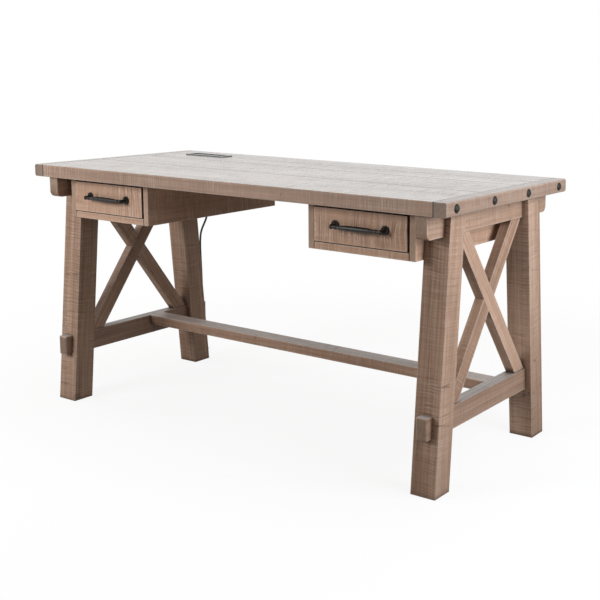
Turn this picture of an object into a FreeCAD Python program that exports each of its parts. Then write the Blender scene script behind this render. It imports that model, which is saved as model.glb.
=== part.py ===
"""Trestle writing desk with two hanging drawers and a power outlet in the top.

Frame: millimetres, X along the desk (right positive), Y into the desk (front negative), Z up,
origin on the floor under the middle of the desk.
"""
import math
import os

import FreeCAD
import Part
import Sketcher

SIDES = {"left": -1, "right": 1}
VECTOR = FreeCAD.Vector

DIMENSIONS = {
    # whole desk
    "desk_length": 1524,
    "desk_depth": 660,
    "desk_height": 762,
    "top_thick": 38,
    # tabletop planks, end boards and their bolts
    "end_board": 38,
    "corner_round": 2,
    "end_round": 7,
    "plank_soft": 1.2,
    "board_soft": 1.6,
    "seam_front": -97,
    "seam_middle": 104,
    "seam_back": 205,
    "bolt_reach": 283,
    "bolt_head": 24,
    "bolt_rise": 6,
    "bolt_shank": 8,
    "bolt_depth": 26,
    "bolt_hole": 8.8,
    "batten_wide": 60,
    "batten_thick": 18,
    "batten_place": 120,
    "batten_front": -190,
    "batten_back": 285,
    # trestles
    "end_overhang": 40,
    "leg_width": 75,
    "leg_depth": 70,
    "foot_reach": 303,
    "head_reach": 241,
    "leg_soft": 2,
    "beam_width": 36,
    "beam_height": 62,
    "beam_reach": 322,
    "beam_round": 18,
    "rail_width": 36,
    "rail_height": 62,
    "rail_under": 150,
    "tenon_width": 32,
    "tenon_height": 58,
    "tenon_out": 25,
    "tenon_chamfer": 3,
    "brace_thick": 28,
    "brace_board": 45,
    "brace_foot": 186,
    "brace_head": 145,
    # stretcher
    "stretcher_wide": 58,
    "stretcher_high": 31,
    "stretcher_front": 42,
    "stub_wide": 40,
    "stub_high": 17,
    "stub_deep": 12,
    # drawer cases
    "case_inner": 304.5,
    "case_outer": 646.5,
    "case_reach": 285,
    "case_under": 599,
    "case_wall": 19,
    "case_back": 18,
    "case_rail_high": 20,
    "case_rail_deep": 22,
    # drawers and slides
    "front_thick": 20,
    "front_gap": 3.75,
    "front_shift": 2.6,
    "front_proud": 1.5,
    "front_lift": 2,
    "front_drop": 11,
    "box_wall": 12,
    "box_under": 636,
    "box_high": 70,
    "box_back": 165,
    "floor_thick": 6,
    "floor_lift": 5,
    "slide_gap": 12.7,
    "slide_long": 400,
    "slide_axis": 668,
    "channel_high": 45,
    "channel_deep": 9.5,
    "channel_wall": 1.5,
    "runner_gap": 1.5,
    "runner_high": 34,
    "runner_start": 3,
    # pulls
    "pull_height": 671,
    "pull_span": 159,
    "rosette_radius": 11.5,
    "rosette_thick": 3,
    "post_start": 1,
    "bar_out": 20,
    "bar_drop": 3,
    "bar_middle": 7.6,
    "bar_waist": 4.4,
    "ring_radius": 5.8,
    "bead_radius": 6.4,
    "tip_long": 3,
    "collar_back": 20,
    "collar_step": 3,
    "tip_radius": 2,
    # power outlet
    "outlet_middle": -545,
    "outlet_back": 243,
    "plate_long": 174,
    "plate_wide": 53,
    "plate_thick": 4,
    "plate_round": 5,
    "well_long": 150,
    "well_wide": 44,
    "face_long": 146,
    "face_wide": 38,
    "face_rise": 2,
    "face_thick": 16,
    "face_gap": 0.3,
    "slot_side": 6.4,
    "slot_wide": 2.2,
    "slot_low": -1,
    "slot_high": 8,
    "earth_wide": 4.8,
    "earth_low": -12,
    "earth_high": -7.2,
    "port_left": 39,
    "port_right": 51.6,
    "port_wide": 4.4,
    "slot_floor": 4,
    "housing_long": 148,
    "housing_wide": 42,
    "housing_under": 700,
    "relief_long": 28,
    # cord
    "cord_size": 7,
    "coil_radius": 37,
    "coil_lift": 1.6,
    "coil_soft": 3.15,
    "tie_wide": 5,
    "tie_thick": 1.2,
    "tie_gap": 0.3,
    # plug
    "plug_lift": 11,
    "plug_neck": 16,
    "plug_long": 26,
    "plug_wide": 26,
    "plug_high": 22,
    "plug_soft": 4,
    "blade_long": 16,
    "blade_side": 6.35,
    "blade_thick": 1.5,
    "blade_low": -1,
    "blade_high": 5.3,
    "pin_wide": 4.8,
    "pin_low": -9.5,
    "pin_high": -4.7,
}

TOP_UNDER = "(dims.desk_height - dims.top_thick)"
RAIL_TOP = "(dims.rail_under + dims.rail_height)"
BEAM_UNDER = f"({TOP_UNDER} - dims.beam_height)"
LEG_MIDDLE = "(dims.desk_length / 2 - dims.end_overhang - dims.leg_width / 2)"

# Middle line of the cord from the strain relief under the outlet to the coil on the floor.
CORD_ROUTE = [
    (-556, 220, 672),
    (-557, 222, 620),
    (-566, 229, 572),
    (-589, 243, 534),
    (-618, 257, 506),
    (-645, 270, 476),
    (-661, 282, 436),
    (-672, 294, 384),
    (-684, 309, 314),
    (-694, 320, 242),
    (-701, 326, 164),
    (-703, 329, 84),
    (-706, 338, 26),
    (-717, 356, 5.4),
    (-733.7, 385.9, 5.1),
]
COIL_PLACE = (-775, 362)
TIE_HEADING = 210
PLUG_HEADING = 190
SOCKETS = (-46, -6)
PORTS = (-8, 8)

doc = FreeCAD.newDocument("writing_desk")
dims = doc.addObject("Spreadsheet::Sheet", "dims")
nodes = []


# ---------------------------------------------------------------- helpers

def fill_sheet():
    """Write every driving dimension to the sheet with its name as alias."""
    for row, (alias, number) in enumerate(DIMENSIONS.items(), start=1):
        dims.set(f"A{row}", alias)
        dims.set(f"B{row}", str(number))
        dims.setAlias(f"B{row}", alias)
    doc.recompute()


def value(expression):
    """Present value of an expression over the sheet."""
    return float(dims.evalExpression(expression))


def place(item, x="0", y="0", z="0"):
    """Bind the base point of an object's Placement to three expressions."""
    for axis, expression in zip("xyz", (x, y, z)):
        item.setExpression(f"Placement.Base.{axis}", expression)


def new_body(label, x="0", y="0", z="0"):
    """A Body that becomes one node."""
    body = doc.addObject("PartDesign::Body", label)
    body.Label = label
    place(body, x, y, z)
    nodes.append(body)
    return body


def sketch_on(body, role):
    """An empty sketch on one of the body's own origin planes."""
    sketch = body.newObject("Sketcher::SketchObject", "sketch")
    plane = [item for item in body.Origin.OriginFeatures if item.Role == role][0]
    sketch.AttachmentSupport = [(plane, "")]
    sketch.MapMode = "FlatFace"
    return sketch


def lock_point(sketch, geometry, end, across, up):
    """Hold a point of a sketch at two distances from the origin, bound to the sheet."""
    for kind, expression in (("DistanceX", across), ("DistanceY", up)):
        number = sketch.addConstraint(
            Sketcher.Constraint(kind, -1, 1, geometry, end, value(expression)))
        name = f"{kind}_{geometry}_{end}"
        sketch.renameConstraint(number, name)
        sketch.setExpression(f"Constraints.{name}", expression)


def outline(body, role, corners):
    """A closed outline of straight lines through corners given as expression pairs."""
    sketch = sketch_on(body, role)
    points = [VECTOR(value(across), value(up), 0) for across, up in corners]
    count = len(points)
    for index in range(count):
        sketch.addGeometry(Part.LineSegment(points[index], points[(index + 1) % count]))
    for index in range(count):
        sketch.addConstraint(Sketcher.Constraint("Coincident", index, 2, (index + 1) % count, 1))
    for index, (across, up) in enumerate(corners):
        lock_point(sketch, index, 1, across, up)
    return sketch


def rectangle(body, role, left, right, low, high):
    """A rectangular outline."""
    return outline(body, role, [(left, low), (right, low), (right, high), (left, high)])


def pad(body, sketch, length, symmetric=False):
    """Raise a sketch into a solid."""
    feature = body.newObject("PartDesign::Pad", "pad")
    feature.Profile = sketch
    feature.setExpression("Length", length)
    feature.SideType = "Symmetric" if symmetric else "One side"
    sketch.Visibility = False
    return feature


def pocket(body, sketch, depth=None, reverse=False):
    """Cut a sketch out of the body, right through both ways when no depth is given."""
    doc.recompute()
    before = body.Shape.Volume
    feature = body.newObject("PartDesign::Pocket", "pocket")
    feature.Profile = sketch
    if depth is None:
        feature.Type = "ThroughAll"
        feature.SideType = "Symmetric"
    else:
        feature.setExpression("Length", depth)
        feature.Reversed = reverse
    doc.recompute()
    if body.Shape.Volume > before - 1:
        raise SystemExit(f"{body.Label}: a pocket cuts nothing")
    return feature


def edges_where(shape, test):
    """Names of a shape's edges that pass a test."""
    return [f"Edge{number}" for number, edge in enumerate(shape.Edges, start=1) if test(edge)]


def dress(body, kind, size, test):
    """Fillet or chamfer the edges that pass a test."""
    doc.recompute()
    base = body.Tip
    names = edges_where(base.Shape, test)
    if not names:
        raise SystemExit(f"{body.Label}: no edges to dress")
    feature = body.newObject(f"PartDesign::{kind}", kind.lower())
    feature.Base = (base, names)
    feature.setExpression("Radius" if kind == "Fillet" else "Size", size)
    doc.recompute()
    return feature


def runs_along(edge, axis, shortest=0):
    """True for a straight edge along an axis that is longer than a length."""
    if edge.Curve.TypeId != "Part::GeomLine" or edge.Length < shortest:
        return False
    return abs(abs(edge.Curve.Direction.dot(axis)) - 1) < 0.001


ALONG_X = VECTOR(1, 0, 0)
ALONG_Y = VECTOR(0, 1, 0)
ALONG_Z = VECTOR(0, 0, 1)


def board(label, size, corner, soft="dims.board_soft", grain=None):
    """A board with its lowest corner at a place and its edges softened.

    With a grain axis only the long edges along it are softened.
    """
    body = new_body(label, *corner)
    block = body.newObject("PartDesign::AdditiveBox", "block")
    for name, expression in zip(("Length", "Width", "Height"), size):
        block.setExpression(name, expression)
    dress(body, "Fillet", soft, lambda edge: grain is None or runs_along(edge, grain))
    return body


def round_piece(body, kind, base, axis, **sizes):
    """Add a primitive of revolution whose own Z axis points along a direction."""
    piece = body.newObject(f"PartDesign::Additive{kind}", kind.lower())
    piece.Placement = FreeCAD.Placement(VECTOR(), FreeCAD.Rotation(ALONG_Z, VECTOR(*axis)))
    place(piece, *base)
    for name, expression in sizes.items():
        piece.setExpression(name, expression)
    return piece


def mirrored_low(sign, near, far):
    """Lower X of a piece that spans near to far from the middle on one side."""
    return near if sign > 0 else f"-({far})"


# ---------------------------------------------------------------- tabletop

def build_planks():
    half_depth = "dims.desk_depth / 2"
    seams = [f"-{half_depth}", "dims.seam_front", "dims.seam_middle", "dims.seam_back", half_depth]
    length = "dims.desk_length - 2 * dims.end_board"
    for number, (front, back) in enumerate(zip(seams, seams[1:]), start=1):
        corner = ("-dims.desk_length / 2 + dims.end_board", front, TOP_UNDER)
        size = (length, f"{back} - ({front})", "dims.top_thick")
        plank = board(f"plank_{number}", size, corner, "dims.plank_soft", ALONG_X)
        if number >= 3:
            cut_outlet_well(plank, front)


def cut_outlet_well(plank, front):
    """Opening for the outlet's housing, drawn from the plank's own corner."""
    start = "(dims.outlet_middle - dims.well_long / 2 + dims.desk_length / 2 - dims.end_board)"
    middle = "dims.outlet_back - dims.plate_wide / 2"
    low = f"{middle} - dims.well_wide / 2 - ({front})"
    high = f"{middle} + dims.well_wide / 2 - ({front})"
    pocket(plank, rectangle(plank, "XY_Plane", start, f"{start} + dims.well_long", low, high))


def build_end_boards():
    for side, sign in SIDES.items():
        near = "(dims.desk_length / 2 - dims.end_board)"
        x = mirrored_low(sign, near, "dims.desk_length / 2")
        body = new_body(f"end_board_{side}", x, "-dims.desk_depth / 2", TOP_UNDER)
        block = body.newObject("PartDesign::AdditiveBox", "block")
        block.setExpression("Length", "dims.end_board")
        block.setExpression("Width", "dims.desk_depth")
        block.setExpression("Height", "dims.top_thick")
        outer = value("dims.end_board") if sign > 0 else 0
        dress(body, "Fillet", "dims.end_round",
              lambda edge: runs_along(edge, ALONG_Y) and abs(edge.CenterOfMass.x - outer) < 1)
        dress(body, "Fillet", "dims.corner_round",
              lambda edge: runs_along(edge, ALONG_Z) and abs(edge.CenterOfMass.x - outer) < 1)
        drill_bolt_holes(body, sign)


def drill_bolt_holes(body, sign):
    """Four blind holes from the outer face, spaced along the board."""
    sketch = sketch_on(body, "YZ_Plane")
    centre_y = "dims.desk_depth / 2 - dims.bolt_reach"
    step = "dims.bolt_reach * 2 / 3"
    for number in range(4):
        across = f"{centre_y} + {number} * {step}"
        centre = VECTOR(value(across), value("dims.top_thick / 2"), 0)
        sketch.addGeometry(Part.Circle(centre, ALONG_Z, value("dims.bolt_hole / 2")))
        lock_point(sketch, number, 3, across, "dims.top_thick / 2")
        index = sketch.addConstraint(Sketcher.Constraint("Diameter", number, value("dims.bolt_hole")))
        sketch.renameConstraint(index, f"hole_{number}")
        sketch.setExpression(f"Constraints.hole_{number}", "dims.bolt_hole")
    if sign > 0:
        sketch.setExpression("AttachmentOffset.Base.z", "dims.end_board")
    pocket(body, sketch, "dims.bolt_depth + 1", reverse=sign < 0)


def build_bolts():
    """Domed heads with their shanks, four in a row in each end board."""
    for side, sign in SIDES.items():
        body = new_body(f"end_bolts_{side}", f"{sign} * dims.desk_length / 2", "-dims.bolt_reach",
                        f"{TOP_UNDER} + dims.top_thick / 2")
        body.AllowCompound = True
        shank = round_piece(body, "Cylinder", ("0", "0", "0"), (-sign, 0, 0),
                            Radius="dims.bolt_shank / 2", Height="dims.bolt_depth")
        head = dome_head(body, sign)
        doc.recompute()
        row = body.newObject("PartDesign::LinearPattern", "row")
        row.Originals = [shank, head]
        row.Direction = ([item for item in body.Origin.OriginFeatures if item.Role == "Y_Axis"][0], [""])
        row.setExpression("Length", "dims.bolt_reach * 2")
        row.Occurrences = 4
        body.Tip = row


def dome_head(body, sign):
    """Low dome turned about the bolt's own axis."""
    sketch = sketch_on(body, "XZ_Plane")
    radius = value("dims.bolt_head / 2")
    rise = value("dims.bolt_rise")
    ball = (radius ** 2 + rise ** 2) / (2 * rise)
    crown = VECTOR(sign * rise, 0, 0)
    rim = VECTOR(0, radius, 0)
    half_turn = math.asin(radius / ball) / 2
    middle = VECTOR(sign * (rise - ball + ball * math.cos(half_turn)), ball * math.sin(half_turn), 0)
    sketch.addGeometry(Part.LineSegment(VECTOR(), crown))
    sketch.addGeometry(Part.Arc(crown, middle, rim))
    sketch.addGeometry(Part.LineSegment(rim, VECTOR()))
    turned = body.newObject("PartDesign::Revolution", "dome")
    turned.Profile = sketch
    turned.ReferenceAxis = (sketch, ["H_Axis"])
    turned.Angle = 360
    return turned


def build_battens():
    for side, sign in SIDES.items():
        board(f"batten_{side}",
              ("dims.batten_wide", "dims.batten_back - dims.batten_front", "dims.batten_thick"),
              (f"{sign} * dims.batten_place - dims.batten_wide / 2", "dims.batten_front",
               f"{TOP_UNDER} - dims.batten_thick"))


# ---------------------------------------------------------------- trestles

def leg_face(height):
    """Distance of a leg's outer face from the middle of the desk at a height."""
    return f"(dims.foot_reach - (dims.foot_reach - dims.head_reach) * ({height}) / {TOP_UNDER})"


def build_leg(side, sign, end, facing):
    """A leaning leg with an open slot for the beam and a mortise for the rail's tenon."""
    corner = mirrored_low(sign, f"({LEG_MIDDLE} - dims.leg_width / 2)",
                          f"{LEG_MIDDLE} + dims.leg_width / 2")
    leg = new_body(f"leg_{end}_{side}", corner)
    foot = f"{facing} * dims.foot_reach"
    head = f"{facing} * dims.head_reach"
    depth = f"{-facing} * dims.leg_depth"
    profile = outline(leg, "YZ_Plane", [(foot, "0"), (f"{foot} + {depth}", "0"),
                                        (f"{head} + {depth}", TOP_UNDER), (head, TOP_UNDER)])
    pad(leg, profile, "dims.leg_width")
    middle = "dims.leg_width / 2"
    slot = rectangle(leg, "XZ_Plane", f"{middle} - dims.beam_width / 2",
                     f"{middle} + dims.beam_width / 2", BEAM_UNDER, f"{TOP_UNDER} + 10")
    pocket(leg, slot)
    rail_middle = "(dims.rail_under + dims.rail_height / 2)"
    mortise = rectangle(leg, "XZ_Plane", f"{middle} - dims.tenon_width / 2",
                        f"{middle} + dims.tenon_width / 2", f"{rail_middle} - dims.tenon_height / 2",
                        f"{rail_middle} + dims.tenon_height / 2")
    pocket(leg, mortise)
    long_edge = value(TOP_UNDER) * 0.95
    dress(leg, "Fillet", "dims.leg_soft",
          lambda edge: edge.Length > long_edge and edge.Curve.TypeId == "Part::GeomLine")


def build_beam(side, sign):
    """Top beam across the legs, its lower corners rounded at both ends."""
    beam = new_body(f"beam_{side}", f"{sign} * {LEG_MIDDLE}")
    profile = rectangle(beam, "YZ_Plane", "-dims.beam_reach", "dims.beam_reach", BEAM_UNDER, TOP_UNDER)
    pad(beam, profile, "dims.beam_width", symmetric=True)
    under = value(BEAM_UNDER)
    dress(beam, "Fillet", "dims.beam_round",
          lambda edge: runs_along(edge, ALONG_X) and abs(edge.CenterOfMass.z - under) < 1)
    reach = value("dims.beam_reach")
    dress(beam, "Fillet", "dims.board_soft",
          lambda edge: runs_along(edge, ALONG_Z) and abs(abs(edge.CenterOfMass.y) - reach) < 1)


def build_rail(side, sign):
    """Lower rail with shoulders against the leaning legs and tenons right through them."""
    rail = new_body(f"rail_{side}", f"{sign} * {LEG_MIDDLE}")
    low = f"({leg_face('dims.rail_under')} - dims.leg_depth)"
    high = f"({leg_face(RAIL_TOP)} - dims.leg_depth)"
    profile = outline(rail, "YZ_Plane", [(f"-{low}", "dims.rail_under"), (low, "dims.rail_under"),
                                         (high, RAIL_TOP), (f"-{high}", RAIL_TOP)])
    pad(rail, profile, "dims.rail_width", symmetric=True)
    middle = "(dims.rail_under + dims.rail_height / 2)"
    reach = f"({leg_face(middle)} + dims.tenon_out)"
    tongue = rectangle(rail, "YZ_Plane", f"-{reach}", reach, f"{middle} - dims.tenon_height / 2",
                       f"{middle} + dims.tenon_height / 2")
    pad(rail, tongue, "dims.tenon_width", symmetric=True)
    tip = value(reach)
    dress(rail, "Chamfer", "dims.tenon_chamfer", lambda edge: abs(abs(edge.CenterOfMass.y) - tip) < 0.5)
    cut_stretcher_mortise(rail, sign)


def cut_stretcher_mortise(rail, sign):
    """Blind mortise in the rail's inner face for the stretcher's stub tenon."""
    middle = "(dims.stretcher_front + dims.stretcher_wide / 2)"
    height = f"({RAIL_TOP} - dims.stretcher_high / 2)"
    sketch = rectangle(rail, "YZ_Plane", f"{middle} - dims.stub_wide / 2",
                       f"{middle} + dims.stub_wide / 2", f"{height} - dims.stub_high / 2",
                       f"{height} + dims.stub_high / 2")
    sketch.setExpression("AttachmentOffset.Base.z", f"{-sign} * dims.rail_width / 2")
    pocket(rail, sketch, "dims.stub_deep", reverse=sign > 0)


def build_braces(side, sign):
    """Two boards from rail to beam, half-lapped where they cross."""
    rise = f"({BEAM_UNDER} - {RAIL_TOP})"
    run = "(dims.brace_foot + dims.brace_head)"
    half = f"(dims.brace_board * sqrt({rise} * {rise} + {run} * {run}) / {rise} / 2)"
    crossing = f"({RAIL_TOP} + dims.brace_foot * {rise} / {run})"
    lap = f"({half} * {rise} / {run})"
    for name, lean in (("a", 1), ("b", -1)):
        brace = new_body(f"brace_{name}_{side}", f"{sign} * {LEG_MIDDLE}")
        foot = f"({-lean} * dims.brace_foot)"
        head = f"({lean} * dims.brace_head)"
        profile = outline(brace, "YZ_Plane", [
            (f"{foot} - {half}", RAIL_TOP), (f"{foot} + {half}", RAIL_TOP),
            (f"{head} + {half}", BEAM_UNDER), (f"{head} - {half}", BEAM_UNDER)])
        pad(brace, profile, "dims.brace_thick", symmetric=True)
        rhombus = outline(brace, "YZ_Plane", [(f"-{half}", crossing), ("0", f"{crossing} - {lap}"),
                                              (half, crossing), ("0", f"{crossing} + {lap}")])
        pocket(brace, rhombus, "dims.brace_thick / 2", reverse=lean * sign > 0)


def build_stretcher():
    """Long board between the rails with a stub tenon in each."""
    body = new_body("stretcher")
    gap = f"({LEG_MIDDLE} - dims.rail_width / 2)"
    front = "dims.stretcher_front"
    profile = rectangle(body, "YZ_Plane", front, f"{front} + dims.stretcher_wide",
                        f"{RAIL_TOP} - dims.stretcher_high", RAIL_TOP)
    pad(body, profile, f"2 * {gap}", symmetric=True)
    middle = f"({front} + dims.stretcher_wide / 2)"
    height = f"({RAIL_TOP} - dims.stretcher_high / 2)"
    stub = rectangle(body, "YZ_Plane", f"{middle} - dims.stub_wide / 2", f"{middle} + dims.stub_wide / 2",
                     f"{height} - dims.stub_high / 2", f"{height} + dims.stub_high / 2")
    pad(body, stub, f"2 * ({gap} + dims.stub_deep)", symmetric=True)
    long_edge = value(gap)
    dress(body, "Fillet", "dims.board_soft", lambda edge: runs_along(edge, ALONG_X, long_edge))


def build_trestles():
    for side, sign in SIDES.items():
        build_leg(side, sign, "front", -1)
        build_leg(side, sign, "back", 1)
        build_beam(side, sign)
        build_rail(side, sign)
        build_braces(side, sign)
    build_stretcher()


# ---------------------------------------------------------------- drawer cases

def build_case(side, sign):
    inner = "dims.case_inner"
    outer = "dims.case_outer"
    wall = "dims.case_wall"
    height = f"{TOP_UNDER} - dims.case_under"
    spans = {"inner": (inner, f"{inner} + {wall}"), "outer": (f"({outer} - {wall})", outer)}
    for name, (near, far) in spans.items():
        board(f"case_{name}_{side}", (wall, "2 * dims.case_reach", height),
              (mirrored_low(sign, near, far), "-dims.case_reach", "dims.case_under"))
    near, far = f"({inner} + {wall})", f"{outer} - {wall}"
    width = f"{far} - {near}"
    low = mirrored_low(sign, near, far)
    board(f"case_back_{side}", (width, "dims.case_back", height),
          (low, "dims.case_reach - dims.case_back", "dims.case_under"), grain=ALONG_X)
    board(f"case_rail_{side}", (width, "dims.case_rail_deep", "dims.case_rail_high"),
          (low, "-dims.case_reach", "dims.case_under"), grain=ALONG_X)


# ---------------------------------------------------------------- drawers

def build_drawer(side, sign):
    near = "(dims.case_inner + dims.case_wall)"
    far = "(dims.case_outer - dims.case_wall)"
    build_drawer_front(side, sign, near, far)
    box_near = f"({near} + dims.slide_gap)"
    box_far = f"({far} - dims.slide_gap)"
    build_drawer_box(side, sign, box_near, box_far)
    build_pull(side, sign)


def build_drawer_front(side, sign, near, far):
    low = mirrored_low(sign, f"({near} + dims.front_gap)", f"{far} - dims.front_gap")
    bottom = "(dims.case_under + dims.case_rail_high + dims.front_lift)"
    board(f"drawer_front_{side}",
          (f"{far} - {near} - 2 * dims.front_gap", "dims.front_thick + dims.front_proud",
           f"{TOP_UNDER} - dims.front_drop - {bottom}"),
          (f"{low} - dims.front_shift", "-dims.case_reach - dims.front_proud", bottom))


def build_drawer_box(side, sign, near, far):
    wall = "dims.box_wall"
    front = "(-dims.case_reach + dims.front_thick)"
    depth = f"dims.box_back - {front}"
    spans = {"inner": (near, f"{near} + {wall}"), "outer": (f"({far} - {wall})", far)}
    for name, (low, high) in spans.items():
        board(f"drawer_{name}_{side}", (wall, depth, "dims.box_high"),
              (mirrored_low(sign, low, high), front, "dims.box_under"), grain=ALONG_Y)
    low, high = f"({near} + {wall})", f"{far} - {wall}"
    x = mirrored_low(sign, low, high)
    board(f"drawer_back_{side}", (f"{high} - {low}", wall, "dims.box_high"),
          (x, f"dims.box_back - {wall}", "dims.box_under"), grain=ALONG_X)
    floor = new_body(f"drawer_floor_{side}", x, front, "dims.box_under + dims.floor_lift")
    panel = floor.newObject("PartDesign::AdditiveBox", "panel")
    panel.setExpression("Length", f"{high} - {low}")
    panel.setExpression("Width", f"{depth} - {wall}")
    panel.setExpression("Height", "dims.floor_thick")


def build_slides(side, sign):
    """On both sides of a drawer, a channel on the case and the runner that slides in it."""
    start = "(-dims.case_reach + dims.front_thick + dims.runner_start)"
    gap = "dims.slide_gap"
    faces = {"inner": ("(dims.case_inner + dims.case_wall)", 1),
             "outer": ("(dims.case_outer - dims.case_wall)", -1)}
    for name, (face, inward) in faces.items():
        turn = sign * inward
        channel = new_body(f"slide_channel_{name}_{side}", f"{sign} * {face}", start, "dims.slide_axis")
        half, wall, deep = "dims.channel_high / 2", "dims.channel_wall", f"{turn} * dims.channel_deep"
        web = f"{turn} * {wall}"
        section = outline(channel, "XZ_Plane", [
            ("0", f"-{half}"), (deep, f"-{half}"), (deep, f"-{half} + {wall}"), (web, f"-{half} + {wall}"),
            (web, f"{half} - {wall}"), (deep, f"{half} - {wall}"), (deep, half), ("0", half)])
        lengthen(channel, section, "dims.slide_long")
        runner = new_body(f"slide_runner_{name}_{side}", f"{sign} * {face}", start, "dims.slide_axis")
        half = "dims.runner_high / 2"
        bar = rectangle(runner, "XZ_Plane", f"{turn} * (dims.channel_wall + dims.runner_gap)",
                        f"{turn} * {gap}", f"-{half}", half)
        lengthen(runner, bar, "dims.slide_long")
        dress(runner, "Fillet", "dims.board_soft", lambda edge: runs_along(edge, ALONG_Y))


def lengthen(body, section, length):
    """Pad a section on the XZ plane towards the back of the desk."""
    feature = pad(body, section, length)
    feature.Reversed = True


def build_pull(side, sign):
    """Dark bar pull: rosettes, leaning posts, a bar thick in the middle, beads and pointed tips."""
    middle = f"{sign} * (dims.case_inner + dims.case_outer) / 2"
    pull = new_body(f"pull_{side}", middle, "-dims.case_reach - dims.front_proud", "dims.pull_height")
    turn_bar(pull)
    lean = (0, -value("dims.bar_out"), -value("dims.bar_drop"))
    for hand in (-1, 1):
        post = f"{hand} * dims.pull_span / 2"
        round_piece(pull, "Cylinder", (post, "0", "0"), (0, -1, 0),
                    Radius="dims.rosette_radius", Height="dims.rosette_thick")
        round_piece(pull, "Cone", (post, "-dims.rosette_thick", "0"), (0, -1, 0),
                    Radius1="dims.rosette_radius * 0.8", Radius2="dims.rosette_radius * 0.6",
                    Height="dims.rosette_thick")
        round_piece(pull, "Cone", (post, "-dims.post_start", "0"), lean, Radius1="dims.ring_radius",
                    Radius2="dims.bar_waist", Height="dims.bar_out")


# Along each half of a pull's bar: how far from the middle, and how much of the swell is left
SWELL = ((0.3, 0.88), (0.55, 0.5))


def turn_bar(pull):
    """The bar, turned about its own axis: half an outline, mirrored about its middle."""
    half, step = "dims.pull_span / 2", "dims.collar_step"
    waist, bead, ring = "dims.bar_waist", "dims.bead_radius", "dims.ring_radius"
    collar, end = f"({half} - dims.collar_back)", f"{half} + dims.tip_long"
    right = [("0", "dims.bar_middle")]
    right += [(f"{half} * {along}", f"{waist} + (dims.bar_middle - {waist}) * {left}")
              for along, left in SWELL]
    right += [(collar, waist), (f"{collar} + {step}", ring), (f"{collar} + 2 * {step}", ring),
              (f"{collar} + 3 * {step}", waist), (f"{half} - 2 * {step}", waist),
              (f"{half} - {step}", bead), (half, bead), (end, "dims.tip_radius"), (end, "0")]
    left = [(f"-({across})", up) for across, up in reversed(right[1:])]
    profile = outline(pull, "XZ_Plane", left + right)
    profile.setExpression("AttachmentOffset.Base.y", "-dims.bar_drop")
    profile.setExpression("AttachmentOffset.Base.z", "dims.bar_out")
    bar = pull.newObject("PartDesign::Revolution", "bar")
    bar.Profile = profile
    bar.ReferenceAxis = (profile, ["H_Axis"])
    bar.Angle = 360


# ---------------------------------------------------------------- power outlet

OUTLET_Y = "(dims.outlet_back - dims.plate_wide / 2)"


def build_outlet():
    """Plate, sockets and housing of the outlet unit let into the top."""
    plate = new_body("outlet_plate", "dims.outlet_middle", OUTLET_Y, "dims.desk_height")
    rim = rectangle(plate, "XY_Plane", "-dims.plate_long / 2", "dims.plate_long / 2",
                    "-dims.plate_wide / 2", "dims.plate_wide / 2")
    pad(plate, rim, "dims.plate_thick")
    dress(plate, "Fillet", "dims.plate_round", lambda edge: runs_along(edge, ALONG_Z))
    top = value("dims.plate_thick")
    dress(plate, "Fillet", "1", lambda edge: abs(edge.CenterOfMass.z - top) < 0.01)
    across, up = "(dims.face_long / 2 + dims.face_gap)", "(dims.face_wide / 2 + dims.face_gap)"
    pocket(plate, rectangle(plate, "XY_Plane", f"-{across}", across, f"-{up}", up))

    build_socket_face()

    top_of_housing = "(dims.desk_height + dims.face_rise - dims.face_thick)"
    board("outlet_housing", ("dims.housing_long", "dims.housing_wide",
                             f"{top_of_housing} - dims.housing_under"),
          ("dims.outlet_middle - dims.housing_long / 2", f"{OUTLET_Y} - dims.housing_wide / 2",
           "dims.housing_under"), grain=ALONG_Z)
    relief = new_body("strain_relief", str(CORD_ROUTE[0][0]), str(CORD_ROUTE[0][1]), "dims.housing_under")
    round_piece(relief, "Cone", ("0", "0", "0"), (0, 0, -1), Radius1="dims.cord_size * 1.15",
                Radius2="dims.cord_size * 0.65", Height="dims.relief_long")


def build_socket_face():
    """Face with two earthed sockets and two charging ports."""
    face = new_body("outlet_face", "dims.outlet_middle", OUTLET_Y,
                    "dims.desk_height + dims.face_rise - dims.face_thick")
    block = rectangle(face, "XY_Plane", "-dims.face_long / 2", "dims.face_long / 2",
                      "-dims.face_wide / 2", "dims.face_wide / 2")
    pad(face, block, "dims.face_thick")
    slots = []
    for middle in SOCKETS:
        for hand in (-1, 1):
            slot = f"{middle} + {hand} * dims.slot_side"
            slots.append((f"{slot} - dims.slot_wide / 2", f"{slot} + dims.slot_wide / 2",
                          "dims.slot_low", "dims.slot_high"))
        slots.append((f"{middle} - dims.earth_wide / 2", f"{middle} + dims.earth_wide / 2",
                      "dims.earth_low", "dims.earth_high"))
    for middle in PORTS:
        slots.append(("dims.port_left", "dims.port_right",
                      f"{middle} - dims.port_wide / 2", f"{middle} + dims.port_wide / 2"))
    for corners in slots:
        sketch = rectangle(face, "XY_Plane", *corners)
        sketch.setExpression("AttachmentOffset.Base.z", "dims.face_thick")
        pocket(face, sketch, "dims.face_thick - dims.slot_floor")


# ---------------------------------------------------------------- cord

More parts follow.
